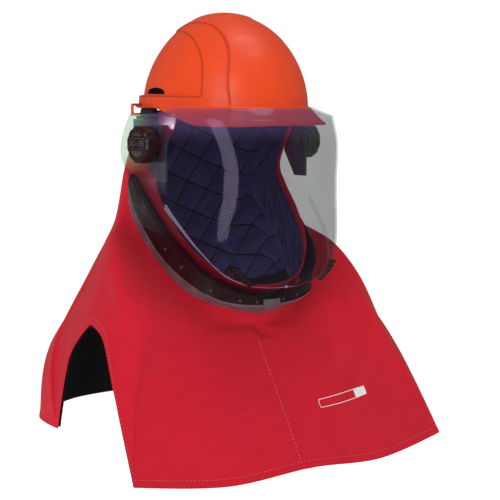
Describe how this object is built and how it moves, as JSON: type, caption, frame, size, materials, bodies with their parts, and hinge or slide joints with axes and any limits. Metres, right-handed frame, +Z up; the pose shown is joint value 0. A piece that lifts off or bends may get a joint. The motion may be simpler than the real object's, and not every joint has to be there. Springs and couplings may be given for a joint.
{
  "type": "arc_flash_hood",
  "caption": "Arc flash hood: an orange hard hat with a clear wraparound window on side knobs, a chin guard, and a quilted red cloth hood that drapes over chest, shoulders and back",
  "frame": {"origin": "the middle of the hard hat's rim, where the hood sits on a wearer's head", "axes": "the hood faces -Y, +Z is up, and +X is the wearer's left"},
  "size_m": [0.534, 0.4174, 0.6146],
  "materials": {
    "hat_plastic": "glossy moulded orange plastic with soft scuffs",
    "window_plastic": "clear grey-green tinted sheet, polished",
    "guard_plastic": "dark maroon moulded plastic, satin",
    "knob_plastic": "dark maroon-brown moulded plastic",
    "bracket_plastic": "grey moulded plastic, matt",
    "adapter_plastic": "black moulded plastic, matt",
    "latch_plastic": "grey moulded plastic, satin",
    "steel": "plain steel",
    "red_cloth": "red flame resistant twill",
    "navy_lining": "dark navy quilted lining",
    "black_lining": "black lining cloth, matt"
  },
  "bodies": {
    "hood": {"hat_shell": "hat_plastic", "chin_guard": "guard_plastic", "chin_latch": "latch_plastic", "guard_stud_1": "steel", "guard_stud_2": "steel", "guard_stud_3": "steel", "guard_stud_4": "steel", "guard_stud_5": "steel", "guard_stud_6": "steel", "guard_stud_7": "steel", "guard_stud_8": "steel", "guard_stud_9": "steel", "guard_stud_10": "steel", "guard_stud_11": "steel", "guard_stud_12": "steel", "hood_cloth": "red_cloth", "head_lining": "navy_lining", "cape_lining": "black_lining", "bracket_right": "bracket_plastic", "bracket_left": "bracket_plastic", "slot_adapter_right": "adapter_plastic", "slot_adapter_left": "adapter_plastic", "pivot_right": "steel", "pivot_left": "steel"},
    "window": {"window": "window_plastic", "grip_right": "knob_plastic", "grip_left": "knob_plastic"},
    "knob_right": {"knob_right": "knob_plastic"},
    "knob_left": {"knob_left": "knob_plastic"}
  },
  "joints": [
    {"name": "window_tilt", "type": "hinge", "parent": "hood", "child": "window", "pos_m": [0, -0.004, -0.045], "axis": [-1, 0, 0], "range_deg": [0, 6]},
    {"name": "knob_right_turn", "type": "hinge", "parent": "hood", "child": "knob_right", "pos_m": [-0.14, -0.004, -0.045], "axis": [-1, 0, 0], "continuous": true},
    {"name": "knob_left_turn", "type": "hinge", "parent": "hood", "child": "knob_left", "pos_m": [0.14, -0.004, -0.045], "axis": [1, 0, 0], "continuous": true}
  ]
}
